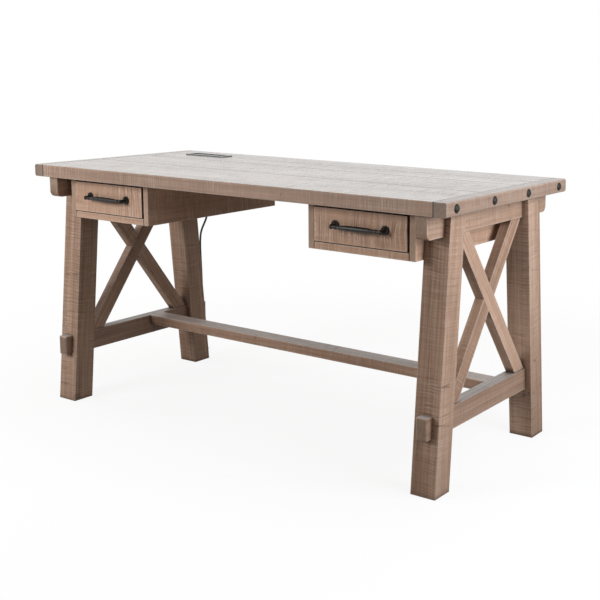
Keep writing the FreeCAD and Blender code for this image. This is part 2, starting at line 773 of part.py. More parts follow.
def rounded_path(points):
    """Straight runs joined by tangent arcs, as large as each pair of runs allows."""
    corners = [VECTOR(*point) for point in points]
    edges = []
    start = corners[0]
    for before, corner, after in zip(corners, corners[1:], corners[2:]):
        incoming = corner - before
        outgoing = after - corner
        turn = incoming.getAngle(outgoing)
        trim = 0.45 * min(incoming.Length, outgoing.Length)
        radius = trim / math.tan(turn / 2)
        print(f"cord turn {math.degrees(turn):5.1f} degrees, radius {radius:7.1f} mm")
        first = corner - incoming.normalize() * trim
        last = corner + outgoing.normalize() * trim
        bisector = (first + last) * 0.5 - corner
        away = radius / math.cos(turn / 2) - radius
        middle = corner + bisector.normalize() * away
        edges.append(Part.makeLine(start, first))
        edges.append(Part.Arc(first, middle, last).toShape())
        start = last
    edges.append(Part.makeLine(start, corners[-1]))
    return Part.Wire(edges)


def build_cord():
    """Tube of the hanging stretch of the cord."""
    radius = value("dims.cord_size / 2")
    path = rounded_path(CORD_ROUTE)
    heading = VECTOR(*CORD_ROUTE[1]) - VECTOR(*CORD_ROUTE[0])
    ring = Part.Wire(Part.makeCircle(radius, VECTOR(*CORD_ROUTE[0]), heading))
    tube = path.makePipeShell([ring], True, False)
    expected = math.pi * radius ** 2 * path.Length
    print(f"cord length {path.Length:.1f} mm, volume {tube.Volume:.0f} of {expected:.0f} mm3")
    if abs(tube.Volume / expected - 1) > 0.01:
        raise SystemExit("cord: the tube's volume is wrong")
    node = doc.addObject("Part::Feature", "cord")
    node.Label = "cord"
    node.Shape = tube
    node.Placement = FreeCAD.Placement()
    nodes.append(node)


def build_coil():
    """Rest of the cord: two layers of two turns, their outer shape, held by a tie."""
    coil = new_body("cord_coil", str(COIL_PLACE[0]), str(COIL_PLACE[1]), "dims.coil_lift")
    inner = "dims.coil_radius - dims.cord_size"
    outer = "dims.coil_radius + dims.cord_size"
    ring = rectangle(coil, "XZ_Plane", inner, outer, "0", "2 * dims.cord_size")
    turned = coil.newObject("PartDesign::Revolution", "ring")
    turned.Profile = ring
    turned.ReferenceAxis = (ring, ["V_Axis"])
    turned.Angle = 360
    dress(coil, "Fillet", "dims.coil_soft", lambda edge: edge.Curve.TypeId == "Part::GeomCircle")

    tie = new_body("cord_tie", str(COIL_PLACE[0]), str(COIL_PLACE[1]), "dims.coil_lift")
    tie.Placement.Rotation = FreeCAD.Rotation(ALONG_Z, TIE_HEADING)
    pad(tie, tie_ring(tie, inner, outer, "(dims.tie_gap + dims.tie_thick)"), "dims.tie_wide", symmetric=True)
    pocket(tie, tie_ring(tie, inner, outer, "dims.tie_gap"))


def tie_ring(tie, inner, outer, out):
    """Rectangle that stands a little way out round the coil's two layers of cord."""
    return rectangle(tie, "XZ_Plane", f"{inner} - {out}", f"{outer} + {out}", f"-{out}",
                     f"2 * dims.cord_size + {out}")


def build_plug():
    """Moulded plug lying flat behind the coil, with its blades."""
    angle = math.radians(PLUG_HEADING)
    side = math.radians(PLUG_HEADING - 90)
    reach = value("dims.coil_radius + dims.cord_size * 1.6")
    ahead = value("dims.plug_neck * 0.75")
    x = str(round(COIL_PLACE[0] + reach * math.cos(side) + ahead * math.cos(angle), 2))
    y = str(round(COIL_PLACE[1] + reach * math.sin(side) + ahead * math.sin(angle), 2))
    turn = FreeCAD.Rotation(ALONG_Z, PLUG_HEADING)

    plug = new_body("plug", x, y, "dims.plug_lift")
    plug.Placement.Rotation = turn
    round_piece(plug, "Cone", ("0", "0", "0"), (1, 0, 0), Radius1="dims.cord_size * 0.7",
                Radius2="dims.cord_size", Height="dims.plug_neck")
    sketch = rectangle(plug, "YZ_Plane", "-dims.plug_wide / 2", "dims.plug_wide / 2",
                       "-dims.plug_high / 2", "dims.plug_high / 2")
    sketch.setExpression("AttachmentOffset.Base.z", "dims.plug_neck")
    pad(plug, sketch, "dims.plug_long")
    shortest = value("dims.plug_long") - 1
    dress(plug, "Fillet", "dims.plug_soft", lambda edge: runs_along(edge, ALONG_X, shortest))

    blades = new_body("plug_blades", x, y, "dims.plug_lift")
    blades.Placement.Rotation = turn
    blades.AllowCompound = True
    half = "dims.blade_thick / 2"
    pins = [(f"{hand} * dims.blade_side - {half}", f"{hand} * dims.blade_side + {half}",
             "dims.blade_low", "dims.blade_high") for hand in (-1, 1)]
    pins.append(("-dims.pin_wide / 2", "dims.pin_wide / 2", "dims.pin_low", "dims.pin_high"))
    for corners in pins:
        pin = rectangle(blades, "YZ_Plane", *corners)
        pin.setExpression("AttachmentOffset.Base.z", "dims.plug_neck + dims.plug_long")
        pad(blades, pin, "dims.blade_long")


# ---------------------------------------------------------------- build, check, write

def check_everything():
    doc.recompute()
    for item in doc.Objects:
        if {"Invalid", "Error"} & set(item.State):
            raise SystemExit(f"{item.Label}: {item.State}")
    for node in nodes:
        if node.Shape.isNull() or not node.Shape.isValid():
            raise SystemExit(f"{node.Label}: its shape is not valid")


def write_parts():
    os.makedirs("parts", exist_ok=True)
    for node in nodes:
        node.Shape.exportStep(f"parts/{node.Label}.step")
    print(f"{len(nodes)} nodes written")


fill_sheet()
build_planks()
build_end_boards()
build_bolts()
build_battens()
build_trestles()
for side_name, side_sign in SIDES.items():
    build_case(side_name, side_sign)
    build_slides(side_name, side_sign)
    build_drawer(side_name, side_sign)
build_outlet()
build_cord()
build_coil()
build_plug()
check_everything()
write_parts()
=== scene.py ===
"""Writing desk: looks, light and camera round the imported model. Lengths are in metres."""
import math

import bmesh
import bpy
from mathutils import Matrix, Vector


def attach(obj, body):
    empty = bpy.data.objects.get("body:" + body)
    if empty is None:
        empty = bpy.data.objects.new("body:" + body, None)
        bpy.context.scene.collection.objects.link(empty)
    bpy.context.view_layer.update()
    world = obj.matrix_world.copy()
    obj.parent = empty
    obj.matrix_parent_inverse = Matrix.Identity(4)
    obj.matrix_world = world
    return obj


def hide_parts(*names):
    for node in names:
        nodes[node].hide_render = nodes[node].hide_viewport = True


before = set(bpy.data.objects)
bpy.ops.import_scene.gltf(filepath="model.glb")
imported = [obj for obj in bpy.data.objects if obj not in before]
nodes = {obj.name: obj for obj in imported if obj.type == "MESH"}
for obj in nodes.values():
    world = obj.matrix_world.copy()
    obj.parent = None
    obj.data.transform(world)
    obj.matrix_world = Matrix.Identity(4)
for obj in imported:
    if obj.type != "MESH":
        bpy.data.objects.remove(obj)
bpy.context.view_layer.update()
scene = bpy.context.scene
SIDES = ("left", "right")
PLANK_COUNT = 4


# ---------------------------------------------------------------- camera and light

AZIMUTH, ELEVATION, ROLL = 32.708, 8.326, 0.599  # degrees
TARGET = Vector((-0.51773, 1.56746, 0.4))
DISTANCE = 4.78027
SENSOR, LENS = 36, 62.4534  # millimetres
LENS_SHIFT = (-0.2080833, -0.1430333)  # share of the frame's width
CLIP_END = 60

SKY_COLOUR, SKY_STRENGTH = (1, 0.91, 0.77, 1), 0.20
WHITE = (1, 1, 1, 1)
FLOOR_RADIUS, FLOOR_SIDES = 40, 96
FLOOR_PALE = (0.86, 0.86, 0.86, 1)
FLOOR_BOUNCE = (0.10, 0.095, 0.09, 1)
GLOW_NEAR, GLOW_FAR = 0.88, 1.0  # share of the floor's own glow under the desk and away from it
FADE_FROM, FADE_TO = 0.7, 2.2
LIGHTS = {  # place, aim, width and height, watts, colour
    "key_right": ((1.95, -0.10, 0.98), (0.7, 0, 0.55), (1.2, 1.1), 25, (0.92, 0.98, 1.04)),
    "fill_left": ((-1.3, -2.4, 1.5), (-0.3, 0, 0.5), (1.3, 1.1), 50, (0.96, 0.985, 1)),
    "rim_left": ((-3.2, -0.4, 1.8), (-0.4, 0, 0.4), (1.2, 1.2), 26, (0.97, 0.985, 1)),
    "top_soft": ((0.2, 0.4, 3.2), (0, 0, 0.7), (2.4, 1.6), 40, (1, 1, 1)),
}


def make_camera():
    """Camera at the photograph's viewing angle, off the desk's front to the right and a little above."""
    azimuth, elevation, roll = map(math.radians, (AZIMUTH, ELEVATION, ROLL))
    back = Vector((math.sin(azimuth) * math.cos(elevation),
                   -math.cos(azimuth) * math.cos(elevation), math.sin(elevation)))
    right = (-back).cross(Vector((0, 0, 1))).normalized()
    up = right.cross(-back)
    right, up = (math.cos(roll) * right + math.sin(roll) * up,
                 math.cos(roll) * up - math.sin(roll) * right)
    data = bpy.data.cameras.new("camera")
    data.sensor_width = SENSOR
    data.lens = LENS
    data.shift_x, data.shift_y = LENS_SHIFT
    data.clip_end = CLIP_END
    camera = bpy.data.objects.new("camera", data)
    turn = Matrix((right, up, back)).transposed().to_4x4()
    camera.matrix_world = Matrix.Translation(TARGET + back * DISTANCE) @ turn
    scene.collection.objects.link(camera)
    scene.camera = camera


def area_light(name, place, aim, size, power, colour):
    data = bpy.data.lights.new(name, "AREA")
    data.shape = "RECTANGLE"
    data.size, data.size_y = size
    data.energy = power
    data.color = colour
    light = bpy.data.objects.new(name, data)
    light.location = place
    light.visible_camera = False
    light.rotation_euler = (Vector(aim) - Vector(place)).to_track_quat("-Z", "Y").to_euler()
    scene.collection.objects.link(light)


def choose_by_ray(tree, shown, bounced):
    """One look for the camera and for gloss, another for light that bounces off."""
    diffuse = put(tree, "LightPath").outputs["Is Diffuse Ray"]
    return put(tree, "MixShader", {0: diffuse, 1: shown.outputs[0], 2: bounced.outputs[0]})


def make_world():
    """White surroundings that give back less light than they show."""
    world = bpy.data.worlds.new("studio")
    scene.world = world
    world.use_nodes = True
    tree = world.node_tree
    tree.nodes.clear()
    soft = put(tree, "Background", {"Color": SKY_COLOUR, "Strength": SKY_STRENGTH})
    seen = put(tree, "Background", {"Color": WHITE, "Strength": 1.0})
    mix = choose_by_ray(tree, seen, soft)
    put(tree, "OutputWorld", {"Surface": mix.outputs[0]})
    scene.view_settings.view_transform = "Standard"


def make_floor():
    """Round pale floor: it shades to white away from the desk, and gives back less light than it shows."""
    mesh = bpy.data.meshes.new("floor")
    angles = [index * math.tau / FLOOR_SIDES for index in range(FLOOR_SIDES)]
    rim = [(FLOOR_RADIUS * math.cos(angle), FLOOR_RADIUS * math.sin(angle), 0) for angle in angles]
    mesh.from_pydata(rim, [], [list(range(FLOOR_SIDES))])
    floor = bpy.data.objects.new("floor", mesh)
    scene.collection.objects.link(floor)
    material = bpy.data.materials.new("floor")
    material.use_nodes = True
    tree = material.node_tree
    tree.nodes.clear()
    coord = put(tree, "TexCoord").outputs["Object"]
    away = put(tree, "VectorMath", {0: coord}, operation="LENGTH").outputs["Value"]
    pale = put(tree, "BsdfDiffuse", {"Color": FLOOR_PALE})
    glow = put(tree, "Emission", {"Color": WHITE, "Strength": 1.0})
    dim = put(tree, "BsdfDiffuse", {"Color": FLOOR_BOUNCE})
    bright = calc(tree, "MULTIPLY_ADD", step(tree, away, FADE_FROM, FADE_TO), GLOW_FAR - GLOW_NEAR, GLOW_NEAR)
    shown = put(tree, "MixShader", {0: bright, 1: pale.outputs[0], 2: glow.outputs[0]})
    mix = choose_by_ray(tree, shown, dim)
    put(tree, "OutputMaterial", {"Surface": mix.outputs[0]})
    mesh.materials.append(material)


# ---------------------------------------------------------------- node helpers

def put(tree, kind, feeds=None, **settings):
    """New node with its settings and inputs; a socket as an input is linked."""
    item = tree.nodes.new("ShaderNode" + kind)
    for key, setting in settings.items():
        setattr(item, key, setting)
    for key, feed in (feeds or {}).items():
        if isinstance(feed, bpy.types.NodeSocket):
            tree.links.new(feed, item.inputs[key])
        else:
            item.inputs[key].default_value = feed
    return item


def calc(tree, operation, *feeds, clamp=False):
    item = put(tree, "Math", dict(enumerate(feeds)), operation=operation)
    item.use_clamp = clamp
    return item.outputs[0]


def times(tree, *feeds):
    """Product of two or more numbers or sockets."""
    product = feeds[0]
    for feed in feeds[1:]:
        product = calc(tree, "MULTIPLY", product, feed)
    return product


def times_add(tree, feed, factor, added):
    return calc(tree, "MULTIPLY_ADD", feed, factor, added)


def less(tree, feed):
    """1 minus the feed."""
    return calc(tree, "SUBTRACT", 1.0, feed)


def step(tree, feed, low, high):
    """0 below low, 1 above high, smooth between."""
    feeds = {"Value": feed, "From Min": low, "From Max": high}
    return put(tree, "MapRange", feeds, interpolation_type="SMOOTHSTEP").outputs["Result"]


def vector(tree, operation, *feeds):
    return put(tree, "VectorMath", dict(enumerate(feeds)), operation=operation).outputs[0]


def parts(tree, feed):
    """The three numbers of a vector."""
    return list(put(tree, "SeparateXYZ", {0: feed}).outputs)


def blend_colour(tree, factor, first, second):
    item = put(tree, "Mix", data_type="RGBA")
    for index, feed in ((0, factor), (6, first), (7, second)):
        if isinstance(feed, bpy.types.NodeSocket):
            tree.links.new(feed, item.inputs[index])
        else:
            item.inputs[index].default_value = (*feed, 1) if index else feed
    return item.outputs[2]


def noise(tree, place, stretch, detail=3.0, rough=0.55, distort=0.0):
    """Noise over a vector stretched by three factors, about 0 to 1."""
    scaled = vector(tree, "MULTIPLY", place, stretch)
    item = put(tree, "TexNoise", {"Vector": scaled, "Scale": 1.0, "Detail": detail,
                                  "Roughness": rough, "Distortion": distort})
    return item.outputs["Fac"]


# ---------------------------------------------------------------- wood

WOOD_INPUTS = {"Coord": "Vector", "Half": "Vector", "Seed": "Vector", "JoinLow": "Vector", "JoinHigh": "Vector",
               "Tone": "Float", "PaintedSheen": "Float", "Marks": "Float", "Brush": "Float", "Streaks": "Float",
               "WearAndHighlight": "Float"}
WOOD_OUTPUTS = {"Color": "Color", "Roughness": "Float", "Height": "Float"}

# noise cells per metre: along the grain, then across it
BROAD, STREAK, FIBRE = (1.3, 9.0, 9.0), (3.6, 150.0, 150.0), (26.0, 640.0, 640.0)
RING_WANDER, MARK_WOBBLE = (1.6, 9.0, 9.0), (4.0, 14.0, 14.0)
MARK_PATCH, SCORE_PATCH = (6.0, 22.0, 22.0), (7.0, 40.0, 40.0)
RAGGED, BROKEN, STAIN = (30.0, 110.0, 110.0), (90.0, 260.0, 260.0), (5.0, 34.0, 34.0)
# noise cells per metre along the grain, for marks that run across it
MARK_BEAT, MARK_COARSE, MARK_FINE, STROKE = (45.0,) * 3, (210.0,) * 3, (520.0,) * 3, (26.0,) * 3

RING_HEART = (0.0, -0.035, 0.06)  # from the board's middle to the heart that the rings go round
RING_WAVER = 0.026
RINGS_PER_METRE = 190.0
MARK_WAVER = 0.010
MARK_LEAN = 0.06  # how much of the way across a mark shifts it along
COMB_PITCH, COMB_DRIFT = 760.0, 9.0
EDGE_RAGGED, SEAM_RAGGED = -0.008, -0.0008

GRAIN_STOPS = ((0.26, (0.215, 0.127, 0.082, 1)), (0.5, (0.368, 0.228, 0.158, 1)), (0.74, (0.500, 0.335, 0.245, 1)))
GRAIN_DARK = (0.150, 0.084, 0.052)
BRUSHED = (0.66, 0.55, 0.47)
SCORED = (0.09, 0.052, 0.034)
# pale edge colour: rubbed wear and painted edge highlight
RUBBED_AND_HIGHLIT = (0.60, 0.48, 0.40)
END_GRAIN = (0.19, 0.150, 0.115)
# painted shade: colour that darkens the wood towards the feet
PAINTED_LOW_SHADE = (0.10, 0.055, 0.034)
# painted shade: colour for corners where boards meet
PAINTED_CORNER_SHADE = (0.050, 0.026, 0.015)
SEAM = (0.04, 0.022, 0.014)
STAINED = (0.10, 0.055, 0.032)
CORNER_REACH = 0.022
CORNER_SAMPLES = 6
DARK_BELOW = 0.42  # height under which painted shade darkens the wood towards the feet


def growth_rings(tree, place):
    """Rings round a heart beside the board."""
    wander = noise(tree, place, RING_WANDER, 2.0)
    across = vector(tree, "MULTIPLY", place, (0.0, 1.0, 1.0))
    across = vector(tree, "ADD", across, RING_HEART)
    reach = put(tree, "VectorMath", {0: across}, operation="LENGTH").outputs["Value"]
    reach = times_add(tree, wander, RING_WAVER, reach)
    return step(tree, calc(tree, "PINGPONG", times(tree, reach, RINGS_PER_METRE), 1.0), 0.3, 1.0)


def saw_marks(tree, place):
    """Marks across the grain, the patches where they are strong, and a few deeper scores."""
    along, across, deep = parts(tree, place)
    along = times_add(tree, noise(tree, place, MARK_WOBBLE, 1.0), MARK_WAVER, along)
    line = put(tree, "CombineXYZ", {0: along, 1: times(tree, across, MARK_LEAN),
                                    2: times(tree, deep, MARK_LEAN)}).outputs[0]
    beat = times(tree, noise(tree, line, MARK_BEAT, 1.0), COMB_DRIFT)
    comb = times_add(tree, calc(tree, "SINE", times_add(tree, along, COMB_PITCH, beat)), 0.5, 0.5)
    marks = calc(tree, "ADD", times(tree, noise(tree, line, MARK_COARSE, 0.0), 0.50),
                 times(tree, noise(tree, line, MARK_FINE, 1.0), 0.38))
    marks = times_add(tree, comb, 0.12, marks)
    patch = times_add(tree, step(tree, noise(tree, place, MARK_PATCH, 3.0), 0.40, 0.66), 0.65, 0.35)
    stroke = calc(tree, "ABSOLUTE", calc(tree, "SUBTRACT", noise(tree, line, STROKE, 0.0), 0.56))
    here = step(tree, noise(tree, place, SCORE_PATCH, 2.0), 0.47, 0.60)
    score = times(tree, less(tree, step(tree, stroke, 0.002, 0.012)), here)
    return marks, patch, score


def board_edges(tree, given, place):
    """Worn edges with a painted edge highlight, dark seams where boards meet, and how near the board's ends are.
    """
    half, coord = given["Half"], given["Coord"]
    end, side, top = parts(tree, vector(tree, "SUBTRACT", half, vector(tree, "ABSOLUTE", coord)))
    edge = calc(tree, "MAXIMUM", calc(tree, "MINIMUM", end, side),
                calc(tree, "MINIMUM", calc(tree, "MAXIMUM", end, side), top))
    ragged = noise(tree, place, RAGGED, 3.0, 0.65)
    worn_and_highlit_edge = less(tree, step(tree, times_add(tree, ragged, EDGE_RAGGED, edge), -0.0038, 0.0008))
    gaps = []
    for turn, join in (("ADD", "JoinLow"), ("SUBTRACT", "JoinHigh")):
        gaps += parts(tree, vector(tree, "ADD", vector(tree, turn, half, coord), given[join]))
    near = gaps[0]
    for gap in gaps[1:]:
        near = calc(tree, "MINIMUM", near, gap)
    near = times_add(tree, ragged, SEAM_RAGGED, near)
    seam = less(tree, step(tree, near, 0.0010, 0.0024))
    worn_and_highlit_edge = times(tree, worn_and_highlit_edge, step(tree, near, 0.002, 0.005))
    return worn_and_highlit_edge, seam, less(tree, step(tree, end, 0.0003, 0.0012))


def grain_colour(tree, given, broad, streak):
    """Brown from broad tone and long streaks, before any mark."""
    grain = calc(tree, "ADD", times(tree, broad, 0.55), times(tree, streak, 0.45))
    grain = times_add(tree, calc(tree, "SUBTRACT", grain, 0.5), given["Streaks"], 0.5)
    ramp = put(tree, "ValToRGB", {"Fac": grain})
    (low, dark), (middle, brown), (high, pale) = GRAIN_STOPS
    stops = ramp.color_ramp.elements
    stops[0].position, stops[0].color = low, dark
    stops[1].position, stops[1].color = high, pale
    stops.new(middle).color = brown
    return ramp.outputs["Color"]


def shade_and_seams(tree, colour, painted_low_shade, painted_corner_shade, seam):
    """Painted shade towards the feet and in the corners where boards meet, and dark seams between boards."""
    colour = blend_colour(tree, times(tree, painted_low_shade, 0.18), colour, PAINTED_LOW_SHADE)
    colour = blend_colour(tree, times(tree, painted_corner_shade, 0.82), colour, PAINTED_CORNER_SHADE)
    return blend_colour(tree, times(tree, seam, 0.92), colour, SEAM)


def wood_group():
    """Sawn wood in board space: X along the grain, the board's middle at the origin."""
    tree = bpy.data.node_groups.new("sawn_wood", "ShaderNodeTree")
    for kinds, side in ((WOOD_INPUTS, "INPUT"), (WOOD_OUTPUTS, "OUTPUT")):
        for name, kind in kinds.items():
            tree.interface.new_socket(name, in_out=side, socket_type="NodeSocket" + kind)
    given = tree.nodes.new("NodeGroupInput").outputs
    place = vector(tree, "ADD", given["Coord"], given["Seed"])
    broad = noise(tree, place, BROAD, 2.0)
    streak = noise(tree, place, STREAK, 4.0, 0.66, 0.3)
    fibre = noise(tree, place, FIBRE, 2.0)
    ring = growth_rings(tree, place)
    marks, patch, score = saw_marks(tree, place)
    worn_and_highlit_edge, seam, end_near = board_edges(tree, given, place)

    facing = parts(tree, put(tree, "NewGeometry").outputs["True Normal"])
    upward = step(tree, facing[2], 0.6, 0.95)
    sideways = step(tree, calc(tree, "ABSOLUTE", facing[0]), 0.6, 0.95)
    carved = times(tree, given["Marks"], times_add(tree, sideways, -0.55, 1.0))
    valley = times(tree, step(tree, marks, 0.53, 0.34), patch)
    ridge = times(tree, step(tree, marks, 0.50, 0.68), patch)
    broken = step(tree, noise(tree, place, BROKEN, 2.0), 0.36, 0.58)
    ridge = times(tree, ridge, times_add(tree, broken, 0.8, 0.2))
    carving = calc(tree, "MULTIPLY", times(tree, valley, carved), 0.5, clamp=True)
    brushing = calc(tree, "MULTIPLY", times(tree, ridge, given["Brush"]), 0.5, clamp=True)
    # Pale edges: rubbed wear and painted edge highlight.
    edge_wear_and_highlight = calc(tree, "MULTIPLY", times(tree, worn_and_highlit_edge, given["WearAndHighlight"]), 0.5, clamp=True)

    colour = grain_colour(tree, given, broad, streak)
    for factor, shade in ((times(tree, ring, 0.16), GRAIN_DARK),
                          (times(tree, step(tree, fibre, 0.5, 0.75), 0.20), GRAIN_DARK),
                          (carving, GRAIN_DARK), (brushing, BRUSHED), (times(tree, score, 0.55), SCORED),
                          (edge_wear_and_highlight, RUBBED_AND_HIGHLIT), (times(tree, end_near, 0.36), END_GRAIN)):
        colour = blend_colour(tree, factor, colour, shade)
    # Painted sheen and painted top light: upward faces are greyed and made lighter.
    painted_sheen_grey = times(tree, given["PaintedSheen"], upward)
    tone_with_painted_top_light = times(tree, given["Tone"], times_add(tree, upward, 0.26, 1.0))
    colour = put(tree, "HueSaturation", {"Saturation": less(tree, painted_sheen_grey), "Value": tone_with_painted_top_light,
                                         "Color": colour}).outputs[0]
    height_up = parts(tree, put(tree, "TexCoord").outputs["Object"])[2]
    # Painted shade: an occlusion test darkens the wood in corners where boards meet.
    hidden = put(tree, "AmbientOcclusion", {"Distance": CORNER_REACH})
    hidden.samples = CORNER_SAMPLES
    painted_corner_shade = less(tree, step(tree, hidden.outputs["AO"], 0.35, 0.92))
    colour = shade_and_seams(tree, colour, less(tree, step(tree, height_up, 0.0, DARK_BELOW)), painted_corner_shade, seam)
    stain = step(tree, noise(tree, place, STAIN, 4.0, 0.7, 0.6), 0.58, 0.76)
    colour = blend_colour(tree, times(tree, stain, 0.30), colour, STAINED)

    height = times(tree, marks, patch, carved)
    for feed, factor in ((streak, 0.3), (fibre, 0.2), (score, -0.6), (seam, -1.0)):
        height = times_add(tree, feed, factor, height)
    rough = 0.50
    for feed, factor in ((valley, 0.16), (streak, 0.14), (upward, -0.10)):
        rough = times_add(tree, feed, factor, rough)

    out = tree.nodes.new("NodeGroupOutput")
    for name, feed in (("Color", colour), ("Roughness", rough), ("Height", height)):
        tree.links.new(feed, out.inputs[name])
    return tree


WOOD = wood_group()
LEG_LEAN = 62 / 724  # how far a leg leans for each unit of height
BRACE_LEAN = 331 / 450
ALONG_X, ALONG_Y = (1, 0, 0), (0, 1, 0)
GRAIN = {  # direction of the grain
    "plank": ALONG_X, "end_board": ALONG_Y, "batten": ALONG_Y, "beam": ALONG_Y, "rail": ALONG_Y,
    "leg_front": (0, LEG_LEAN, 1), "leg_back": (0, -LEG_LEAN, 1),
    "brace_a": (0, BRACE_LEAN, 1), "brace_b": (0, -BRACE_LEAN, 1), "stretcher": ALONG_X,
    "case_inner": ALONG_Y, "case_outer": ALONG_Y, "case_back": ALONG_X, "case_rail": ALONG_X,
    "drawer_front": ALONG_X, "drawer_inner": ALONG_Y, "drawer_outer": ALONG_Y, "drawer_back": ALONG_X,
    "drawer_floor": ALONG_X,
}
# tone, painted sheen that greys upward faces, saw marks, pale brushing, streaks, worn edges with a painted edge
# highlight, relief, roughness added
LOOKS = {
    "plank": (0.96, 0.74, 0.8, 0.8, 1.3, 0.6, 0.25, -0.24),
    "end_board": (0.76, 0.62, 0.6, 0.5, 1.2, 0.8, 0.40, -0.20),
    "case": (1.44, 0.4, 0.9, 0.8, 0.8, 0.6, 0.6, 0.0),
    "drawer_front": (1.44, 0.4, 1.1, 0.9, 0.6, 0.6, 0.7, 0.0),
    "leg": (1.02, 0.5, 0.85, 0.5, 1.9, 0.5, 0.7, 0.0),
    "rail": (0.92, 0.7, 0.4, 0.35, 1.6, 0.6, 0.5, -0.05),
    "beam": (1.02, 0.5, 0.6, 0.5, 1.3, 0.8, 0.5, 0.0),
    "stretcher": (1.12, 0.6, 0.5, 0.4, 1.4, 0.8, 0.5, -0.05),
    "brace": (1.18, 0.5, 0.3, 0.3, 1.7, 0.6, 0.5, 0.0),
    "drawer_": (1.55, 0.1, 0.06, 0.15, 0.7, 0.5, 0.15, 0.0),
    "other": (1.0, 0.3, 0.6, 0.5, 1.0, 1.0, 0.5, 0.0),
}
LOOK_INPUTS = ("Tone", "PaintedSheen", "Marks", "Brush", "Streaks", "WearAndHighlight")
GLOSS, GLOSS_OF_TOP = 0.25, 0.5
WOOD_RELIEF, FINE_RELIEF = 0.0012, 0.0005
SEED_STEP = (1.37, 0.111, 0.077)  # moves each board to its own place in the noise
FREE, BOTH = (0, 0), (1, 1)
ENDS_MEET = (BOTH, FREE, FREE)
# for each axis of the board, whether its low and its high face meet another board
JOINTS = {
    "plank_1": (BOTH, (0, 1), FREE), "plank_2": (BOTH, BOTH, FREE), "plank_3": (BOTH, BOTH, FREE),
    "plank_4": (BOTH, (1, 0), FREE), "end_board_left": (FREE, (0, 1), FREE),
    "end_board_right": (FREE, (1, 0), FREE), "case_rail_left": ENDS_MEET, "case_rail_right": ENDS_MEET,
    "case_back_left": ENDS_MEET, "case_back_right": ENDS_MEET, "stretcher": ENDS_MEET,
}
NO_JOINTS = (FREE, FREE, FREE)


def extent(places):
    """Lowest and highest corner of a list of points."""
    return (Vector([min(place[axis] for place in places) for axis in range(3)]),
            Vector([max(place[axis] for place in places) for axis in range(3)]))


def board_axes(grain):
    """Rows of the turn from the desk's axes to the board's, X along its grain."""
    first = Vector(grain).normalized()
    second = Vector(ALONG_Y) if abs(first.x) > 0.9 else Vector(ALONG_X)
    return Matrix((first, second, first.cross(second)))


def wood_material(name, grain, look, seed):
    item = nodes[name]
    turn = board_axes(grain)
    low, high = extent([turn @ vertex.co for vertex in item.data.vertices])
    material = bpy.data.materials.new("wood_" + name)
    material.use_nodes = True
    tree = material.node_tree
    shader = tree.nodes["Principled BSDF"]
    coord = put(tree, "TexCoord").outputs["Object"]
    mapped = put(tree, "Mapping", {"Vector": coord, "Location": -(low + high) / 2,
                                   "Rotation": turn.to_euler("XYZ")})
    group = tree.nodes.new("ShaderNodeGroup")
    group.node_tree = WOOD
    tree.links.new(mapped.outputs[0], group.inputs["Coord"])
    group.inputs["Half"].default_value = (high - low) / 2
    along, across, deep = SEED_STEP
    group.inputs["Seed"].default_value = (seed * along, seed * across % 1.0, seed * deep % 1.0)
    meets = JOINTS.get(name, NO_JOINTS)
    group.inputs["JoinLow"].default_value = [1 - ends[0] for ends in meets]
    group.inputs["JoinHigh"].default_value = [1 - ends[1] for ends in meets]
    *strengths, bump, rougher = look
    for key, strength in zip(LOOK_INPUTS, strengths):
        group.inputs[key].default_value = strength
    relief = put(tree, "Bump", {"Strength": bump, "Distance": WOOD_RELIEF, "Height": group.outputs["Height"]})
    rough = calc(tree, "ADD", group.outputs["Roughness"], rougher)
    tree.links.new(group.outputs["Color"], shader.inputs["Base Color"])
    tree.links.new(rough, shader.inputs["Roughness"])
    tree.links.new(relief.outputs[0], shader.inputs["Normal"])
    gloss = GLOSS_OF_TOP if "plank" in name or "end_board" in name else GLOSS
    shader.inputs["Specular IOR Level"].default_value = gloss
    item.material_slots[0].material = material


def finish_wood():
    for seed, name in enumerate(sorted(nodes), start=3):
        kind = next((key for key in sorted(GRAIN, key=len, reverse=True) if name.startswith(key)), None)
        if kind is None:
            continue
        look = next((LOOKS[key] for key in LOOKS if name.startswith(key)), LOOKS["other"])
        wood_material(name, GRAIN[kind], look, seed)


# ---------------------------------------------------------------- other materials

# colour, roughness, metal, grains per metre, relief, colour spread, specular level
PLAIN_LOOKS = {
    "dark_iron": ((0.014, 0.011, 0.009), 0.36, 0.2, 320, 0.25, 0.25, 0.28),
    "bolt_iron": ((0.013, 0.010, 0.008), 0.45, 0.1, 420, 0.5, 0.35, 0.22),
    "slide_steel": ((0.60, 0.60, 0.61), 0.32, 1.0, 600, 0.08, 0.06, 0.5),
    "outlet_trim": ((0.085, 0.09, 0.085), 0.16, 0.0, 900, 0.04, 0.05, 1.0),
    "outlet_black": ((0.022, 0.022, 0.023), 0.18, 0.0, 900, 0.04, 0.1, 0.9),
    "cord_rubber": ((0.018, 0.018, 0.018), 0.55, 0.0, 900, 0.12, 0.1, 0.5),
    "blade_brass": ((0.62, 0.49, 0.24), 0.28, 1.0, 700, 0.05, 0.08, 0.5),
}
# how a node's name starts, and its material; the first that fits is used
FINISHES = (("pull", "dark_iron"), ("end_bolts", "bolt_iron"), ("slide", "slide_steel"),
            ("outlet_plate", "outlet_trim"), ("plug_blades", "blade_brass"), ("outlet", "outlet_black"),
            ("cord_tie", "outlet_black"), ("strain_relief", "cord_rubber"), ("plug", "cord_rubber"))
BROAD_TO_FINE = 9
ROUGH_SPREAD = 0.22


